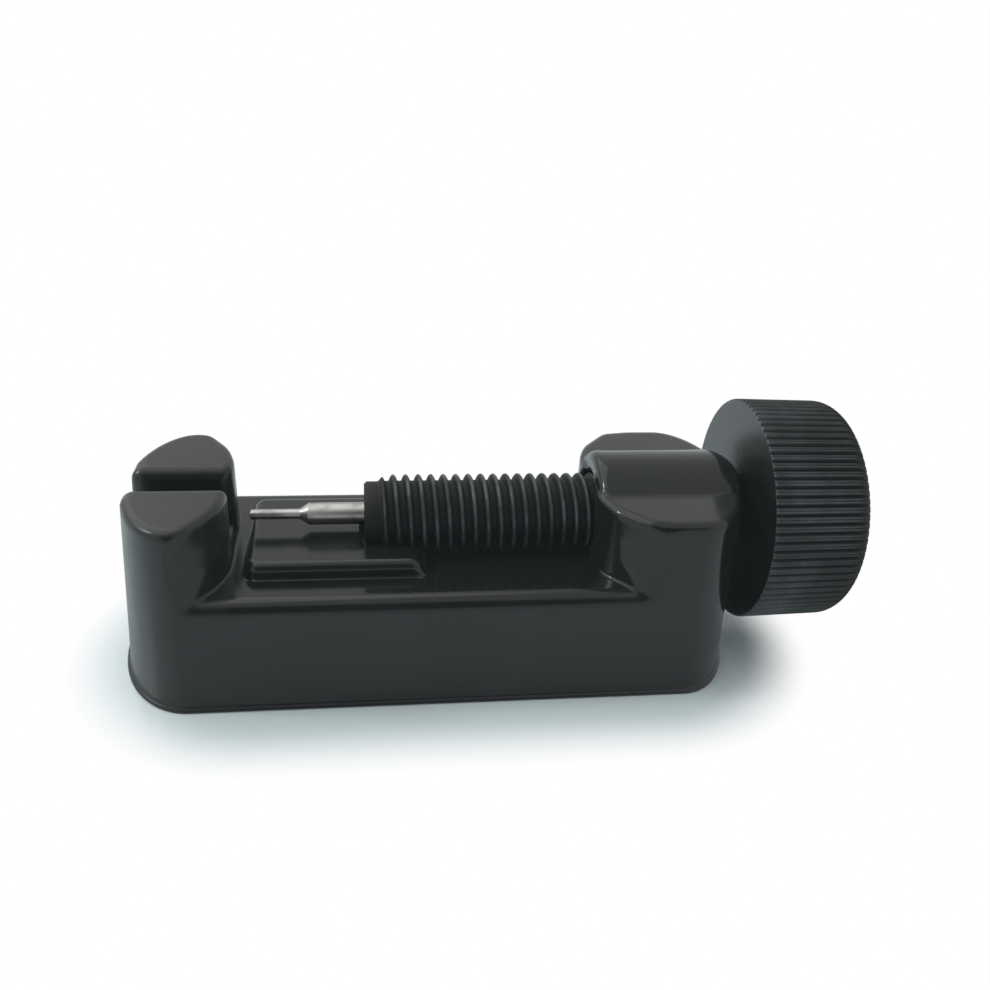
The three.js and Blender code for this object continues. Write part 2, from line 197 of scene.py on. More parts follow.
class ScrewSizes(bpy.types.PropertyGroup):
    """Sizes of the spindle, the knob and the pin."""

    crest_radius: length("Crest radius", "Radius over the thread", 4.55 * MM)
    root_radius: length("Root radius", "Radius at the bottom of the thread", 3.8 * MM)
    pitch: length("Pitch", "Travel for one turn", 1.5 * MM)
    ridge_share: share("Ridge share", "Half of the ridge's foot, as a share of the pitch", 0.3)
    thread_run_in: length("Thread run-in", "Length over which the thread rises", 0.9 * MM)
    lead_radius: length("Lead radius", "Radius of the plain end", 3.75 * MM)
    lead_length: length("Lead length", "Length of the plain end", 1.55 * MM)
    first_crest: length("First crest", "First crest on top, from the spindle's end", 2.05 * MM)
    neck_length: length("Neck length", "Plain length next to the knob", 0.9 * MM)
    drive_radius: length("Drive radius", "Radius of the end inside the knob", 3.5 * MM)
    knob_socket: length("Knob socket", "Radius of the socket in the knob", 3.7 * MM)
    knob_socket_depth: length("Knob socket depth", "Depth of the socket in the knob", 7.8 * MM)
    knob_radius: length("Knob radius", "Radius over the ribs at the inner face", 13.6 * MM)
    knob_outer_radius: length(
        "Knob outer radius", "Radius over the ribs before the round edge", 13.38 * MM)
    knob_edge: length("Knob edge", "Round of the knob's outer edge", 2.4 * MM)
    knob_rim: length("Knob rim", "Small round of the knob's inner edge", 0.3 * MM)
    knob_dome: length("Knob dome", "How far the outer face bulges", 0.3 * MM)
    rib_depth: length("Rib depth", "Depth of the grooves between the knob's ribs", 0.5 * MM)
    crest_dip: share("Crest dip", "Shallow groove along each rib, as a share of the deep one", 0.42)
    rib_count: IntProperty(name="Ribs", description="Ribs round the knob", default=80, min=12)
    pin_tip_radius: length("Pin tip radius", "Radius of the pin's thin end", 0.6 * MM)
    pin_tip_length: length("Pin tip length", "Length of the thin end", 5.75 * MM)
    pin_cone_length: length("Pin cone length", "Length of the cone", 0.95 * MM)
    pin_nose: length("Pin nose", "Round of the pin's tip", 0.15 * MM)
    pin_cone_edge: length("Pin cone edge", "Softening of the cone's two ends", 0.09 * MM)
    pin_shank_radius: length("Pin shank radius", "Radius of the shank", 1.3 * MM)
    pin_socket_radius: length("Pin socket radius", "Radius of the hole for the pin", 1.45 * MM)
    pin_socket_depth: length("Pin socket depth", "Depth of the hole for the pin", 8.0 * MM)


class Finishes(bpy.types.PropertyGroup):
    """Colours and gloss."""

    plastic: colour("Plastic", "Body colour of the black moulding", (0.0082, 0.0098, 0.0102))
    plastic_roughness: share("Plastic roughness", "Roughness of the cradle, rubbed smooth", 0.14)
    post_satin: share("Post satin", "How much rougher the split post is", 0.14)
    channel_dullness: share("Channel dullness", "How much rougher the screw's channel is", 0.6)
    fade: length("Fade", "How softly one gloss goes over into another", 1.0 * MM)
    screw_plastic: colour("Screw plastic", "Body colour of the spindle", (0.0090, 0.0105, 0.0110))
    screw_roughness: share("Screw roughness", "Roughness of the spindle", 0.36)
    knob_plastic: colour("Knob plastic", "Body colour of the knob", (0.0110, 0.0128, 0.0134))
    knob_roughness: share("Knob roughness", "Roughness of the knob", 0.5)
    knob_face_roughness: share("Knob face roughness", "Roughness of the knob's inner face", 0.26)
    # Painted stray light: an even glow given to the black plastics that lifts their shade; the
    # plastic itself does not glow.
    painted_stray_light: colour("Haze", "Faint glow of black plastic under stray light", (0.0062, 0.0078, 0.0081))
    steel: colour("Steel", "Colour of the pin", (0.41, 0.4, 0.385))
    steel_roughness: share("Steel roughness", "Roughness of the pin", 0.28)
    # Painted cast of light: this bluish tint colours the table's shade near the object and its
    # reflections in the plastic; further off the table shows white.
    table: colour("Table", "Colour of the table top", (0.745, 0.855, 0.88))


class StageSizes(bpy.types.PropertyGroup):
    """The camera and the light."""

    focal_share: share("Focal share", "Focal length over the picture's width", 0.98784)
    yaw: angle("Yaw", "Turn of the camera", 8.6776)
    tilt: angle("Tilt", "Downward tilt of the camera", 28.1195)
    roll: angle("Roll", "Roll about the view", 3.4013)
    camera_x: length("Camera X", "Camera from the spindle's end", -0.026 * MM)
    camera_y: length("Camera Y", "Camera from the screw's axis", -102.2 * MM)
    camera_z: length("Camera height", "Camera above the screw's axis", 57.44 * MM)
    table_size: length("Table size", "Side of the table top", 6.0)
    shadow_start: length(
        "Shadow start", "How far off the frame the table starts to look white", 1.0 * MM)
    shadow_reach: length("Shadow reach", "How far off the frame the table looks white", 10.0 * MM)
    shadow_drift: length("Shadow drift", "How far the shadow leans to the right", 2.0 * MM)
    shadow_front: length("Shadow front", "How far the shadow leans to the front", 1.5 * MM)
    sky: share("Surround", "Strength of the white surround", 0.72)
    key_power: share("Key lamp", "Power of the large lamp in watts", 2.2)
    key_size: length("Key lamp size", "Side of the large lamp", 0.9)
    window_power: share("Window lamp", "Power of the small lamp that makes the glints", 1.0)
    window_size: length("Window lamp size", "Side of the small lamp", 0.09)


# Shader maths


class Socket:
    """An output of a shader node that can stand in a Python expression."""

    def __init__(self, shader, output):
        self.shader = shader
        self.output = output

    def math(self, operation, *values):
        """A Math node in the same tree."""
        return self.shader.math(operation, *values)

    def __add__(self, other):
        return self.math("ADD", self, other)

    def __radd__(self, other):
        return self.math("ADD", other, self)

    def __sub__(self, other):
        return self.math("SUBTRACT", self, other)

    def __rsub__(self, other):
        return self.math("SUBTRACT", other, self)

    def __mul__(self, other):
        return self.math("MULTIPLY", self, other)

    def __rmul__(self, other):
        return self.math("MULTIPLY", other, self)

    def __truediv__(self, other):
        return self.math("DIVIDE", self, other)

    def __pow__(self, other):
        return self.math("POWER", self, other)


class Shader:
    """The node tree of a material or a world."""

    def __init__(self, tree):
        self.tree = tree
        tree.nodes.clear()

    def node(self, kind, settings=None, inputs=None, output=0):
        """Adds a node. An input takes a plain value or another node's output."""
        made = self.tree.nodes.new(kind)
        for key, value in (settings or {}).items():
            setattr(made, key, value)
        for key, value in (inputs or {}).items():
            if isinstance(value, Socket):
                self.tree.links.new(value.output, made.inputs[key])
            else:
                made.inputs[key].default_value = value
        return Socket(self, made.outputs[output]) if made.outputs else made

    def place(self):
        """Object coordinates, which are the frame's own."""
        return self.node("ShaderNodeTexCoord", output="Object")

    def parts(self, vector):
        """The X, Y and Z of a vector."""
        separate = self.node("ShaderNodeSeparateXYZ", inputs={0: vector})
        return [Socket(self, output) for output in separate.output.node.outputs]

    def stretched(self, vector, scale):
        """A vector times a scale for each axis."""
        return self.node("ShaderNodeVectorMath", {"operation": "MULTIPLY"}, {0: vector, 1: scale})

    def noise(self, vector, scale, detail=3.0, roughness=0.5):
        """Even noise from 0 to 1."""
        return self.node("ShaderNodeTexNoise", inputs={
            "Vector": vector, "Scale": scale, "Detail": detail, "Roughness": roughness})

    def between(self, value, low, high):
        """From 0 at low to 1 at high, smoothly."""
        return self.node("ShaderNodeMapRange", {"interpolation_type": "SMOOTHSTEP"}, {
            "Value": value, "From Min": low, "From Max": high})

    def mix(self, factor, first, second):
        """A colour between two. The node's colour sockets follow those for other kinds."""
        first, second = (rgba(c) if isinstance(c, tuple) else c for c in (first, second))
        inputs = {0: factor, 6: first, 7: second}
        return self.node("ShaderNodeMix", {"data_type": "RGBA"}, inputs, output=2)

    def bump(self, height, strength, distance, **normal):
        """A normal that follows a height, on top of another normal where one is given."""
        return self.node("ShaderNodeBump", inputs={
            "Height": height, "Strength": strength, "Distance": distance, **normal})

    def beyond(self, value, low, high):
        """How far a value lies outside its range."""
        middle = self.math("ABSOLUTE", value - (low + high) / 2)
        return self.math("MAXIMUM", middle - (high - low) / 2, 0.0)

    def from_axis(self, y, z):
        """Distance from the screw's axis."""
        height = z - AXIS_HEIGHT
        return (y * y + height * height) ** 0.5

    def math(self, operation, *values):
        """A Math node."""
        return self.node("ShaderNodeMath", {"operation": operation}, dict(enumerate(values)))

    def principled(self, **inputs):
        """A Principled shader. Words of a socket's name are joined by underscores."""
        named = {key.replace("_", " "): value for key, value in inputs.items()}
        return self.node("ShaderNodeBsdfPrincipled", inputs=named)

    def surface_with_painted_glow(self, finish, **inputs):
        """A Principled surface with a painted glow: an even emission that stands in for the stray
        light lifting black plastic's shade.
        """
        # Painted glow: emission standing in for stray light on the black plastic.
        self.surface(Emission_Color=rgba(finish.painted_stray_light), Emission_Strength=1.0, **inputs)

    def surface(self, **inputs):
        """Makes a Principled shader the material's surface."""
        self.node("ShaderNodeOutputMaterial", inputs={"Surface": self.principled(**inputs)})


def new_shader(name):
    """A new material and its node tree."""
    material = bpy.data.materials.new(name)
    material.use_nodes = True
    return material, Shader(material.node_tree)


def times(linear, factor):
    """A colour, brighter or darker."""
    return tuple(min(1.0, channel * factor) for channel in linear)


def rgba(linear):
    """A colour with full alpha."""
    return (*linear, 1.0)


def moulded_plastic(finish, sizes):
    """Glossy black moulding: ripple, smudges, fine scratches, dust, and a dull screw channel."""
    material, s = new_shader("black_moulding")
    place = s.place()
    ripple = s.noise(place, 95.0, 2.0)
    grain = s.noise(place, 2600.0, 2.0)
    smudge = s.between(s.noise(place, 60.0, 5.0, 0.65), 0.42, 0.68)
    along = s.noise(s.stretched(place, (60.0, 900.0, 900.0)), 8.0, 2.0, 0.4)
    scratch = s.between(along, 0.66, 0.72)
    speck = s.between(s.noise(place, 1900.0, 1.0), 0.77, 0.82)
    x, y, z = s.parts(place)
    left_end = FRAME_LOW.x + sizes.foot_proud
    left_face = left_end + sizes.left_post
    near_axis = s.between(s.from_axis(y, z), sizes.bore_radius + 0.2 * MM, sizes.bore_radius)
    bore_start = left_end + sizes.bore_start
    channel = near_axis * s.between(x, bore_start, bore_start + finish.fade)
    tone = s.mix(smudge, times(finish.plastic, 0.9), times(finish.plastic, 1.25))
    tone = s.mix(speck * 0.06, tone, (0.12, 0.12, 0.118))
    worn = finish.plastic_roughness + smudge * 0.06 + scratch * 0.05 + speck * 0.2
    on_left = s.between(x, left_face + finish.fade, left_face)
    roughness = worn + on_left * finish.post_satin + channel * finish.channel_dullness
    rippled = s.bump(ripple, 0.25, 0.12 * MM)
    normal = s.bump(grain + scratch * 0.05, 0.2, 0.01 * MM, Normal=rippled)
    s.surface_with_painted_glow(finish, Base_Color=tone, Roughness=roughness, Normal=normal, IOR=1.46)
    return material


def screw_plastic(finish, sizes):
    """Satin black thread, smoother on its crests, with painted shade and highlight: roots and
    flanks darkened, crests lightened, partly rubbed wear and partly painted highlight.
    """
    material, s = new_shader("black_screw")
    place = s.place()
    _, y, z = s.parts(place)
    crest = s.between(s.from_axis(y, z), sizes.crest_radius - 0.24 * MM, sizes.crest_radius)
    grain = s.noise(place, 2200.0, 3.0)
    patch = s.between(s.noise(place, 220.0, 4.0, 0.6), 0.4, 0.66)
    wear_and_painted_highlight = crest * (patch * 0.7 + 0.3)
    # Painted shade and highlight: everything off the crests, roots and flanks included, is darkened
    # to 0.3 of the plastic's colour, and the crests are lightened up to eight times, partly rubbed
    # wear and partly painted highlight.
    tone = s.mix(wear_and_painted_highlight, times(finish.screw_plastic, 0.3), times(finish.screw_plastic, 8.0))
    roughness = finish.screw_roughness + 0.24 - wear_and_painted_highlight * 0.38 + grain * 0.05
    normal = s.bump(grain + patch * 0.4, 0.35, 0.02 * MM)
    s.surface_with_painted_glow(finish, Base_Color=tone, Roughness=roughness, Normal=normal, IOR=1.38)
    return material


def knob_plastic(finish, sizes):
    """Finely eroded matte black, with paler rib crests, partly finger wear and partly painted
    highlight, and painted shade darkening the grooves and the rest of the knob.
    """
    material, s = new_shader("black_knob")
    place = s.place()
    x, y, z = s.parts(place)
    inner_face = s.between(x, KNOB_LOW.x + sizes.knob_rim, KNOB_LOW.x + sizes.knob_rim / 3)
    rib_top = sizes.knob_outer_radius
    crest = s.between(s.from_axis(y, z), rib_top - 0.3 * MM, rib_top + 0.05 * MM)
    erosion = s.noise(place, 3400.0, 3.0, 0.7)
    patch = s.between(s.noise(place, 140.0, 4.0, 0.6), 0.38, 0.68)
    wear_and_painted_highlight = crest * (patch * 0.6 + 0.4)
    # Painted shade and highlight: everything off the rib crests, grooves and inner face included,
    # is darkened to 0.4 of the plastic's colour, and the crests are lightened up to six times,
    # partly finger wear and partly painted highlight.
    tone = s.mix(wear_and_painted_highlight, times(finish.knob_plastic, 0.4), times(finish.knob_plastic, 6.0))
    moulded = finish.knob_roughness + 0.12 + erosion * 0.16 - wear_and_painted_highlight * 0.26
    roughness = moulded - inner_face * (moulded - finish.knob_face_roughness)
    normal = s.bump(erosion * (1.0 - inner_face * 0.8), 0.75, 0.035 * MM)
    s.surface_with_painted_glow(finish, Base_Color=tone, Roughness=roughness, Normal=normal, IOR=1.5)
    return material


def turned_steel(finish):
    """Bright steel with turning marks round it and a little tarnish."""
    material, s = new_shader("turned_steel")
    place = s.place()
    rings = s.noise(s.stretched(place, (9000.0, 300.0, 300.0)), 1.0, 3.0, 0.6)
    tarnish = s.between(s.noise(place, 420.0, 4.0, 0.6), 0.45, 0.75)
    tone = s.mix(tarnish, tuple(finish.steel), times(finish.steel, 0.62))
    roughness = finish.steel_roughness + rings * 0.12 + tarnish * 0.1
    normal = s.bump(rings, 0.3, 0.01 * MM)
    s.surface(Base_Color=tone, Roughness=roughness, Metallic=1.0, Normal=normal)
    return material


def table_top(finish, stage):
    """Smooth pale table with a soft sheen that looks white a short way off the object. Its bluish
    colour shows only near the object, as a painted bluish cast in the table's shade and in the
    object's reflections of it.
    """
    material, s = new_shader("pale_table")
    place = s.place()
    cloud = s.between(s.noise(place, 14.0, 3.0), 0.3, 0.7)
    tone = s.mix(cloud, tuple(finish.table), times(finish.table, 1.02))
    roughness = cloud * 0.05 + 0.16
    pale = s.principled(Base_Color=tone, Roughness=roughness, IOR=1.45)
    x, y, _ = s.parts(place)
    half = FRAME_HIGH.y
    drift = stage.shadow_drift
    across = s.beyond(x, FRAME_LOW.x + half + drift, FRAME_HIGH.x - half + drift)
    forwards = y + stage.shadow_front
    away = (across * across + forwards * forwards) ** 0.5 - half
    far = s.between(away, stage.shadow_start, stage.shadow_reach)
    seen = s.node("ShaderNodeLightPath", output="Is Camera Ray")
    white = s.node("ShaderNodeEmission", inputs={"Color": rgba(WHITE), "Strength": 1.0})
    both = s.node("ShaderNodeMixShader", inputs={0: far * seen, 1: pale, 2: white})
    s.node("ShaderNodeOutputMaterial", inputs={"Surface": both})
    return material


# Mesh helpers


def mesh_object(name, vertices, faces, smooth=True):
    """A new object from points in metres."""
    mesh = bpy.data.meshes.new(name)
    mesh.from_pydata(np.asarray(vertices).tolist(), [], [list(face) for face in faces])
    mesh.validate()
    mesh.polygons.foreach_set("use_smooth", [smooth] * len(mesh.polygons))
    mesh.update()
    made = bpy.data.objects.new(name, mesh)
    bpy.context.scene.collection.objects.link(made)
    return made


def dress(piece, body, node, material):
    """Puts a piece in place of its CAD node."""
    piece.data.materials.append(material)
    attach(piece, body)
    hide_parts(node)
    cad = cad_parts[node]
    cad.data.materials.clear()
    cad.data.materials.append(material)


def round_meet(first, second, radius):
    """Distance to what two solids share, with a round outer edge between them."""
    u = np.maximum(first + radius, 0.0)
    v = np.maximum(second + radius, 0.0)
    return np.minimum(np.maximum(first, second), -radius) + np.hypot(u, v)


def round_join(first, second, radius):
    """Distance to two solids together, with a hollow round between them."""
    u = np.maximum(radius - first, 0.0)
    v = np.maximum(radius - second, 0.0)
    return np.maximum(np.minimum(first, second), radius) - np.hypot(u, v)


def ease(value, low, high):
    """From 0 at low to 1 at high, smoothly."""
    t = np.clip((value - low) / (high - low), 0.0, 1.0)
    return t * t * (3.0 - 2.0 * t)


def slope_side(across, up, run, rise):
    """Distance past a sloping plane through the origin that falls by rise over run."""
    return (across * rise + up * run) / math.hypot(run, rise)


def plan_distance(x, y, z, m, inwards=0.0):
    """Distance outside the drafted plan with round ends, moved inwards."""
    half = m.base_width / 2 - m.side_draft * z - inwards
    left_length = m.left_end_round - m.left_end_draft * z - inwards
    right_length = m.right_end_round - m.right_end_draft * z - inwards
    right_centre = m.frame_length - m.right_end_round
    past = np.where(x < m.left_end_round, x - m.left_end_round, np.maximum(x - right_centre, 0.0))
    end = np.where(x < m.left_end_round, left_length, right_length)
    side = np.maximum(np.abs(y), TINY)
    first = np.hypot(past / end, side / half)
    second = np.hypot(past / end ** 2, side / half ** 2)
    return first * (first - 1.0) / second


def post_sides(past_face, y, z, m, corner, depth, growth):
    """Distance past a post's inner face and its slanting corners, which widen upwards."""
    half = m.base_width / 2 - m.side_draft * z
    rise = np.clip((z - AXIS_HEIGHT + m.floor) / (m.floor + m.shoulder), 0.0, 1.0)
    slant = past_face * depth + (np.abs(y) - half + depth * (1.0 + growth * rise)) * corner
    return round_meet(past_face, slant / math.hypot(corner, depth), m.corner_edge)


def moulding_distance(x, y, z, m):
    """Distance outside the moulded frame. X counts from the left end of the base."""
    floor_height = AXIS_HEIGHT - m.floor
    shoulder = AXIS_HEIGHT + m.shoulder
    pad_height = AXIS_HEIGHT - m.pad_depth
    right_face = m.frame_length - m.right_post

    growth = m.left_corner_growth
    left = post_sides(x - m.left_post, y, z, m, m.left_corner, m.left_corner_depth, growth)
    left = round_meet(left, z - shoulder, m.top_edge)
    right = post_sides(right_face - x, y, z, m, m.right_corner, m.right_corner_depth, 0.0)
    right = round_meet(right, z - shoulder, m.top_edge)
    top = round_join(round_join(z - floor_height, left, m.post_foot), right, m.post_foot)

    to_axis = np.hypot(y, z - AXIS_HEIGHT)
    boss = round_meet(to_axis - m.boss_radius, right_face + m.boss_inset - x, m.boss_inner_end)
    top = round_join(top, boss, m.boss_foot)

    pad_left = m.left_post + m.pad_gap
    pad_right = pad_left + m.pad_length
    ramp = slope_side(x - pad_right, z - pad_height, m.pad_ramp, pad_height - floor_height)
    lean = (pad_height - z) * m.side_draft * m.pad_side_lean
    plan = round_meet(pad_left - x, np.abs(y) - m.pad_width / 2 - lean, m.pad_corner)
    plan = round_meet(plan, ramp, m.pad_edge)
    pad = round_meet(plan, z - pad_height, m.pad_edge)
    top = round_join(top, pad, m.pad_foot)

    slot_floor = AXIS_HEIGHT - m.slot_depth
    slot = round_meet(np.abs(y) - m.slot_width / 2, slot_floor - z, m.post_foot / 2)
    slot = np.maximum(slot, x - m.left_post - m.pad_gap / 2)
    top = round_meet(top, -slot, m.slot_edge)

    rim = m.foot_proud * (1.0 - ease(z, m.foot_height - m.foot_edge, m.foot_height + m.foot_edge))
    plan = plan_distance(x, y, z, m) - rim
    in_post = ease(z, floor_height, floor_height + m.floor_blend)
    edge = m.floor_edge + (m.top_edge - m.floor_edge) * in_post
    boss_start = shoulder + m.boss_end_start
    edge = edge + (m.boss_end - m.top_edge) * ease(z, boss_start, boss_start + m.boss_end_blend)
    mouth = m.slot_width / 2 + m.slot_mouth
    beside_slot = 1.0 - ease(np.abs(y), mouth, mouth + m.slot_mouth)
    at_mouth = beside_slot * (1.0 - ease(x, m.left_end_round / 2, m.left_end_round))
    at_mouth = at_mouth * ease(z, slot_floor, slot_floor + m.slot_mouth)
    edge = edge + (m.slot_mouth - m.top_edge) * at_mouth
    reach = m.corner_outer_edge
    by_left = ease(x, m.left_post - m.left_corner - reach, m.left_post - m.left_corner)
    by_right = 1.0 - ease(x, right_face + m.right_corner, right_face + m.right_corner + reach)
    upright = ease(z, floor_height + m.corner_start, floor_height + reach)
    upright = upright * (1.0 - m.corner_fall * ease(z, shoulder - reach, shoulder))
    by_corner = np.where(x < m.frame_length / 2, by_left, by_right) * upright
    edge = edge + (reach - m.top_edge) * by_corner
    solid = round_meet(plan, top, edge)

    past_pad = ease(x, pad_right, pad_right + m.pad_ramp)
    before_boss = 1.0 - ease(x, right_face - m.pad_ramp, right_face)
    bore_radius = m.bore_radius - (m.bore_radius - m.groove_radius) * past_pad * before_boss
    bore = round_meet(to_axis - bore_radius, m.bore_start - x, m.crisp_edge)
    solid = round_meet(solid, -bore, m.crisp_edge)

    roof = AXIS_HEIGHT - m.bore_radius - m.wall
    hollow = plan_distance(x, y, z, m, m.wall)
    beside_rib = m.rib / 2 - np.abs(x - m.frame_length / 2)
    hollow = round_meet(round_meet(hollow, beside_rib, m.core_round), z - roof, m.core_round)
    solid = round_meet(solid, -hollow, m.crisp_edge)
    return round_meet(solid, -z, m.foot_edge)


def slope_at(points, distance):
    """How the distance grows along each axis."""
    slope = np.empty_like(points)
    for axis in range(3):
        offset = np.zeros(3)
        offset[axis] = SLOPE_STEP
        rise = distance(*(points + offset).T) - distance(*(points - offset).T)
        slope[:, axis] = rise / (2 * SLOPE_STEP)
    return slope


def settle(points, distance, reach, rounds):
    """Moves points onto the surface where the distance is nothing."""
    for _ in range(rounds):
        value = distance(*points.T)
        slope = slope_at(points, distance)
        steep = np.maximum((slope ** 2).sum(1), LEAST_SLOPE)
        move = slope * (value / steep)[:, None]
        far = np.linalg.norm(move, axis=1, keepdims=True)
        points = points - move * np.minimum(1.0, reach / np.maximum(far, TINY))
    return points


def layer_heights(low, high, step, fine_ranges):
    """Heights of a grid's layers, closer together inside the fine ranges."""
    heights = [low]
    while heights[-1] < high:
        fine = any(start <= heights[-1] < end for start, end in fine_ranges)
        heights.append(heights[-1] + (step / FINE_LAYERS if fine else step))
    return np.array(heights)


def surface_cells(inside):
    """Cells of the grid that the surface passes through, and a grid with each one's number."""
    shape = np.array(inside.shape) - 1
    views = [tuple(slice(o, o + n) for o, n in zip(corner, shape)) for corner in CELL_CORNERS]
    count = sum(inside[view].astype(np.int8) for view in views)
    cells = np.argwhere((count > 0) & (count < len(CELL_CORNERS)))
    number = np.full(shape, -1)
    number[tuple(cells.T)] = np.arange(len(cells))
    return cells, number


def cell_points(field, cells, axes):
    """A point in each cell: the middle of where the surface crosses the cell's edges."""
    total = np.zeros((len(cells), 3))
    crossings = np.zeros(len(cells))
    for a in CELL_CORNERS:
        for axis in range(3):
            if a[axis]:
                continue
            b = tuple(a[i] + (i == axis) for i in range(3))
            start = field[tuple((cells + a).T)]
            end = field[tuple((cells + b).T)]
            cut = (start < 0.0) != (end < 0.0)
            along = np.where(cut, start / np.where(cut, start - end, 1.0), 0.0)
            point = np.array(a) + along[:, None] * np.eye(3)[axis]
            total += np.where(cut[:, None], point, 0.0)
            crossings += cut
    at = cells + total / crossings[:, None]
    return np.stack([np.interp(at[:, i], np.arange(len(axes[i])), axes[i]) for i in range(3)], 1)


def surface_quads(inside, number):
    """A quad across each edge of the grid that leaves or enters the solid."""
    quads = []
    for axis in range(3):
        u, v = (axis + 1) % 3, (axis + 2) % 3
        lower = [slice(None)] * 3
        upper = [slice(None)] * 3
        lower[axis], upper[axis] = slice(0, -1), slice(1, None)
        for leaving in (True, False):
            first, last = inside[tuple(lower)], inside[tuple(upper)]
            edges = np.argwhere(first & ~last if leaving else ~first & last)
            steps = QUAD_CORNERS if leaving else QUAD_CORNERS[:1] + QUAD_CORNERS[:0:-1]
            ring = []
            for du, dv in steps:
                cell = edges.copy()
                cell[:, u] -= 1 - du
                cell[:, v] -= 1 - dv
                ring.append(number[tuple(cell.T)])
            quads.append(np.stack(ring, 1))
    return np.concatenate(quads)


def relaxed(points, quads):
    """Each point moved to the mean middle of the quads round it."""
    middles = points[quads].mean(1)
    corners = quads.ravel()
    shares = np.bincount(corners, minlength=len(points))
    total = [np.bincount(corners, np.repeat(middles[:, axis], 4), len(points)) for axis in range(3)]
    return np.stack(total, 1) / shares[:, None]


def skin(distance, low, high, step, fine_ranges):
    """Points and quads of the surface of a solid that is given by a distance."""
    axes = [np.arange(low[i] - 1.6 * step, high[i] + 2.6 * step, step) for i in range(2)]
    axes.append(layer_heights(low[2] - step, high[2] + 2 * step, step, fine_ranges))
    field = distance(*np.meshgrid(*axes, indexing="ij"))
    inside = field < 0.0
    cells, number = surface_cells(inside)
    quads = surface_quads(inside, number)
    points = settle(cell_points(field, cells, axes), distance, step / 2, 3)
    for _ in range(2):
        points = settle(relaxed(points, quads), distance, step / 2, 2)
    return points, quads


def turned_grid(rows, columns):
    """Quads between rings of points, each ring closed, with a point at either end of the axis."""
    faces = []
    for row in range(rows - 1):
        for column in range(columns):
            after = (column + 1) % columns
            a, b = row * columns + column, row * columns + after
            faces.append((a, b, b + columns, a + columns))
    start, end = rows * columns, rows * columns + 1
    for column in range(columns):
        after = (column + 1) % columns
        faces.append((start, after, column))
        last = (rows - 1) * columns
        faces.append((end, last + column, last + after))
    return faces


def turned_piece(name, stations, radii, angles):
    """A piece round the screw's axis: places along X, and a radius for each place and angle."""
    rows, columns = len(stations), len(angles)
    radii = np.broadcast_to(radii, (rows, columns))
    x = np.repeat(np.asarray(stations), columns).reshape(rows, columns)
    ring = np.stack([x, radii * np.cos(angles), radii * np.sin(angles) + AXIS_HEIGHT], 2)
    ends = [[stations[0], 0.0, AXIS_HEIGHT], [stations[-1], 0.0, AXIS_HEIGHT]]
    points = np.concatenate([ring.reshape(-1, 3), np.array(ends)])
    return mesh_object(name, points, turned_grid(rows, columns))


def full_turn(count):
    """Even angles all the way round."""
    return np.arange(count) * 2 * math.pi / count


def quarter_round(steps):
    """Pairs of how far along and how far in, over a quarter of a circle of radius 1."""
    angles = np.linspace(0.0, math.pi / 2, steps)
    return np.sin(angles), 1.0 - np.cos(angles)


def keep_crisp(piece, degrees=35.0):
    """Smooth shading that breaks at real edges."""
    bpy.context.view_layer.objects.active = piece
    piece.select_set(True)
    bpy.ops.object.shade_smooth_by_angle(angle=math.radians(degrees))
    piece.select_set(False)


# Pieces


class LINKTOOL_OT_moulding(bpy.types.Operator):
    """Makes the one-piece moulded frame with its posts, pad and boss"""

    bl_idname = "linktool.moulding"
    bl_label = "Moulded frame"

    def execute(self, context):
        m = context.scene.moulding_sizes
        left_end = FRAME_LOW.x + m.foot_proud

        def distance(x, y, z):
            return moulding_distance(x - left_end, y, z, m)

        foot = (-m.mesh_step, 2 * m.foot_height)
        pad = (AXIS_HEIGHT - m.floor - m.pad_edge, AXIS_HEIGHT - m.pad_depth + m.pad_edge / 2)
        points, quads = skin(distance, FRAME_LOW, FRAME_HIGH, m.mesh_step, (foot, pad))
        piece = mesh_object("frame_moulding", points, quads)
        material = moulded_plastic(context.scene.finishes, m)
        dress(piece, "frame", "moulded_frame", material)
        return {"FINISHED"}


class LINKTOOL_OT_spindle(bpy.types.Operator):
    """Makes the screw spindle with its thread, the socket for the pin and the drive end"""

    bl_idname = "linktool.spindle"
    bl_label = "Screw spindle"

    def execute(self, context):
        s = context.scene.screw_sizes
        tip = SPINDLE_LOW.x
        seat = KNOB_LOW.x - s.knob_rim
        angles = full_turn(SPINDLE_COLUMNS)
        chamfer = s.knob_rim
        stations = [tip + s.pin_socket_depth, tip, tip, tip + chamfer]
        radii = [s.pin_socket_radius, s.pin_socket_radius, s.lead_radius - chamfer, s.lead_radius]
        rows = [np.full(len(angles), radius) for radius in radii]
        thread_start = tip + s.lead_length
        thread_end = seat - s.neck_length
        steps = int((thread_end - thread_start) / s.pitch * ROWS_A_TURN)
        from_top = angles / (2 * math.pi) - 0.25
        for x in np.linspace(thread_start, thread_end, steps):
            turns = (x - tip - s.first_crest) / s.pitch - from_top
            beside = np.abs(turns - np.round(turns)) / s.ridge_share
            ridge = np.cos(np.minimum(beside, 1.0) * math.pi / 2) ** RIDGE_POWER
            grown = ease(x, thread_start, thread_start + s.thread_run_in)
            low = s.lead_radius + (s.root_radius - s.lead_radius) * grown
            stations.append(x)
            rows.append(low + (s.crest_radius - low) * ridge * grown)
        neck = s.crest_radius - chamfer
        drive_end = KNOB_LOW.x + s.knob_socket_depth - chamfer
        for x, radius in ((thread_end + s.neck_length / 3, neck), (seat, neck),
                          (seat, s.drive_radius), (drive_end, s.drive_radius)):
            stations.append(x)
            rows.append(np.full(len(angles), radius))
        piece = turned_piece("threaded_spindle", stations, np.array(rows), angles)
        keep_crisp(piece, 50.0)
        material = screw_plastic(context.scene.finishes, s)
        dress(piece, "screw", "screw_spindle", material)
        return {"FINISHED"}


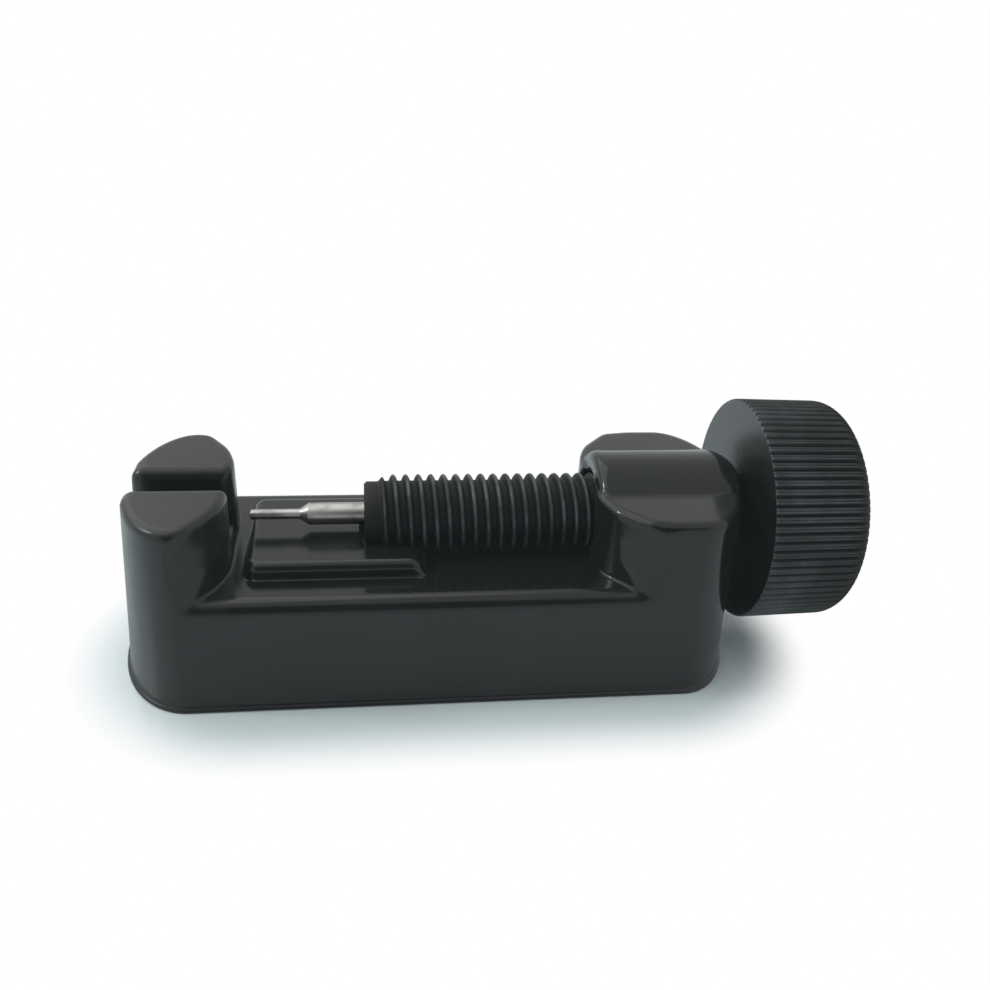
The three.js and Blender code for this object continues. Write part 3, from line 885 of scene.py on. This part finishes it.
class LINKTOOL_OT_knob(bpy.types.Operator):
    """Makes the knurled knob"""

    bl_idname = "linktool.knob"
    bl_label = "Knurled knob"

    def execute(self, context):
        s = context.scene.screw_sizes
        angles = full_turn(s.rib_count * COLUMNS_A_RIB)
        wave = 0.5 + 0.5 * np.cos(angles * s.rib_count)
        groove = (1.0 - wave) ** GROOVE_POWER + s.crest_dip * wave ** DIP_POWER
        inner, outer = KNOB_LOW.x, KNOB_HIGH.x
        stations = [inner + s.knob_socket_depth] + [inner] * 4
        flat_end = s.knob_radius - s.knob_rim
        rows = [s.knob_socket, s.knob_socket]
        rows += [flat_end * 0.6, flat_end - 0.5 * MM, flat_end - 0.05 * MM]
        depths = [0.0] * len(rows)
        along, inwards = quarter_round(KNOB_RIM_ROWS)
        for a, b in zip(along, inwards):
            stations.append(inner + s.knob_rim * b)
            rows.append(s.knob_radius - s.knob_rim * (1.0 - a))
            depths.append(s.rib_depth * a)
        edge_start = outer - s.knob_dome - s.knob_edge
        for x in np.linspace(inner + 4 * s.knob_rim, edge_start, KNOB_SIDE_ROWS):
            stations.append(x)
            fall = (x - inner) / (edge_start - inner)
            rows.append(s.knob_radius + (s.knob_outer_radius - s.knob_radius) * fall)
            depths.append(s.rib_depth)
        along, inwards = quarter_round(KNOB_EDGE_ROWS)
        for a, b in list(zip(along, inwards))[1:]:
            stations.append(edge_start + s.knob_edge * a)
            rows.append(s.knob_outer_radius - s.knob_edge * b)
            depths.append(s.rib_depth * (1.0 - ease(b, 0.15, 0.8)))
        face_radius = s.knob_outer_radius - s.knob_edge
        for part in np.linspace(0.9, 0.05, KNOB_FACE_ROWS):
            stations.append(outer - s.knob_dome * part ** 2)
            rows.append(face_radius * part)
            depths.append(0.0)
        radii = np.array(rows)[:, None] - np.array(depths)[:, None] * groove
        piece = turned_piece("ribbed_knob", stations, radii, angles)
        keep_crisp(piece, 50.0)
        material = knob_plastic(context.scene.finishes, s)
        dress(piece, "screw", "knurled_knob", material)
        return {"FINISHED"}


class LINKTOOL_OT_pin(bpy.types.Operator):
    """Makes the turned steel punch pin"""

    bl_idname = "linktool.pin"
    bl_label = "Punch pin"

    def execute(self, context):
        s = context.scene.screw_sizes
        tip = PIN_LOW.x
        nose = s.pin_nose
        cone = tip + s.pin_tip_length
        shank = cone + s.pin_cone_length
        soft = s.pin_cone_edge
        thin, thick = s.pin_tip_radius, s.pin_shank_radius
        profile = [
            (tip, thin - nose), (tip + nose * 0.3, thin - nose * 0.3), (tip + nose, thin),
            (cone - soft, thin), (cone + soft, thin + soft),
            (shank - soft, thick - soft), (shank + soft, thick), (PIN_HIGH.x, thick)]
        stations = [x for x, _ in profile]
        radii = np.array([radius for _, radius in profile])[:, None]
        piece = turned_piece("steel_pin", stations, radii, full_turn(PIN_COLUMNS))
        keep_crisp(piece)
        dress(piece, "punch", "punch_pin", turned_steel(context.scene.finishes))
        return {"FINISHED"}


class LINKTOOL_OT_stage(bpy.types.Operator):
    """Makes the table, the soft light and the camera"""

    bl_idname = "linktool.stage"
    bl_label = "Stage"

    def execute(self, context):
        g = context.scene.stage_sizes
        self.make_table(context, g)
        self.make_surround(context, g)
        self.make_lamp(context, "key_lamp", KEY_PLACE, g.key_size, g.key_power)
        self.make_lamp(context, "window_lamp", WINDOW_PLACE, g.window_size, g.window_power)
        self.make_camera(context, g)
        context.scene.view_settings.view_transform = "Standard"
        return {"FINISHED"}

    @staticmethod
    def make_table(context, g):
        half = g.table_size / 2
        corners = [(-half, -half, 0.0), (half, -half, 0.0), (half, half, 0.0), (-half, half, 0.0)]
        table = mesh_object("table_top", corners, [(0, 1, 2, 3)], smooth=False)
        table.data.materials.append(table_top(context.scene.finishes, g))

    @staticmethod
    def make_surround(context, g):
        """A white surround with a dark place behind the photo's viewpoint."""
        world = bpy.data.worlds.new("white_surround")
        world.use_nodes = True
        context.scene.world = world
        s = Shader(world.node_tree)
        direction = s.node("ShaderNodeTexCoord", output="Generated")
        inputs = {0: direction, 1: DARK_DIRECTION}
        towards = s.node("ShaderNodeVectorMath", {"operation": "DOT_PRODUCT"}, inputs, "Value")
        shade = s.between(towards, DARK_START, DARK_FULL)
        camera = s.node("ShaderNodeLightPath", output="Is Camera Ray")
        tone = s.mix(shade, WHITE, DARK)
        seen = s.mix(camera, tone, WHITE)
        strength = camera * (1.0 - g.sky) + g.sky
        light = s.node("ShaderNodeBackground", inputs={"Color": seen, "Strength": strength})
        s.node("ShaderNodeOutputWorld", inputs={"Surface": light})

    @staticmethod
    def make_lamp(context, name, place, size, power):
        data = bpy.data.lights.new(name, "AREA")
        data.size = size
        data.energy = power
        lamp = bpy.data.objects.new(name, data)
        lamp.location = place
        aim = Vector((0.0, 0.0, AXIS_HEIGHT)) - Vector(place)
        lamp.rotation_euler = aim.to_track_quat("-Z", "Y").to_euler()
        context.scene.collection.objects.link(lamp)

    @staticmethod
    def make_camera(context, g):
        data = bpy.data.cameras.new("photo_camera")
        data.sensor_width = 36.0
        data.lens = data.sensor_width * g.focal_share
        data.clip_start = 0.005
        flat = math.cos(g.tilt)
        forward = Vector((math.sin(g.yaw) * flat, math.cos(g.yaw) * flat, -math.sin(g.tilt)))
        right = forward.cross(Vector((0.0, 0.0, 1.0))).normalized()
        up = right.cross(forward)
        level = right * math.cos(g.roll) + up * math.sin(g.roll)
        raised = up * math.cos(g.roll) - right * math.sin(g.roll)
        turn = Matrix((level, raised, -forward)).transposed().to_4x4()
        place = Vector((SPINDLE_LOW.x + g.camera_x, g.camera_y, AXIS_HEIGHT + g.camera_z))
        camera = bpy.data.objects.new("photo_camera", data)
        camera.matrix_world = Matrix.Translation(place) @ turn
        context.scene.collection.objects.link(camera)
        context.scene.camera = camera


class LINKTOOL_PT_panel(bpy.types.Panel):
    """Lists the pieces"""

    bl_label = "Link tool"
    bl_idname = "LINKTOOL_PT_panel"
    bl_space_type = "VIEW_3D"
    bl_region_type = "UI"
    bl_category = "Link tool"

    def draw(self, context):
        for operator in PIECE_OPERATORS:
            self.layout.operator(operator.bl_idname)
        for group in SIZE_GROUPS:
            box = self.layout.box()
            for key in SIZE_GROUPS[group].__annotations__:
                box.prop(getattr(context.scene, group), key)


PIECE_OPERATORS = (
    LINKTOOL_OT_stage,
    LINKTOOL_OT_moulding,
    LINKTOOL_OT_spindle,
    LINKTOOL_OT_knob,
    LINKTOOL_OT_pin,
)
SIZE_GROUPS = {
    "moulding_sizes": MouldingSizes,
    "screw_sizes": ScrewSizes,
    "finishes": Finishes,
    "stage_sizes": StageSizes,
}


def register():
    """Adds the sizes, the operators and the panel."""
    for group, kind in SIZE_GROUPS.items():
        bpy.utils.register_class(kind)
        setattr(bpy.types.Scene, group, PointerProperty(type=kind))
    for kind in (*PIECE_OPERATORS, LINKTOOL_PT_panel):
        bpy.utils.register_class(kind)


def unregister():
    """Takes them away again."""
    for kind in (LINKTOOL_PT_panel, *reversed(PIECE_OPERATORS)):
        bpy.utils.unregister_class(kind)
    for group, kind in reversed(SIZE_GROUPS.items()):
        delattr(bpy.types.Scene, group)
        bpy.utils.unregister_class(kind)


def main():
    """Builds the whole scene."""
    register()
    bpy.ops.linktool.stage()
    bpy.ops.linktool.moulding()
    bpy.ops.linktool.spindle()
    bpy.ops.linktool.knob()
    bpy.ops.linktool.pin()


if __name__ == "__main__":
    main()
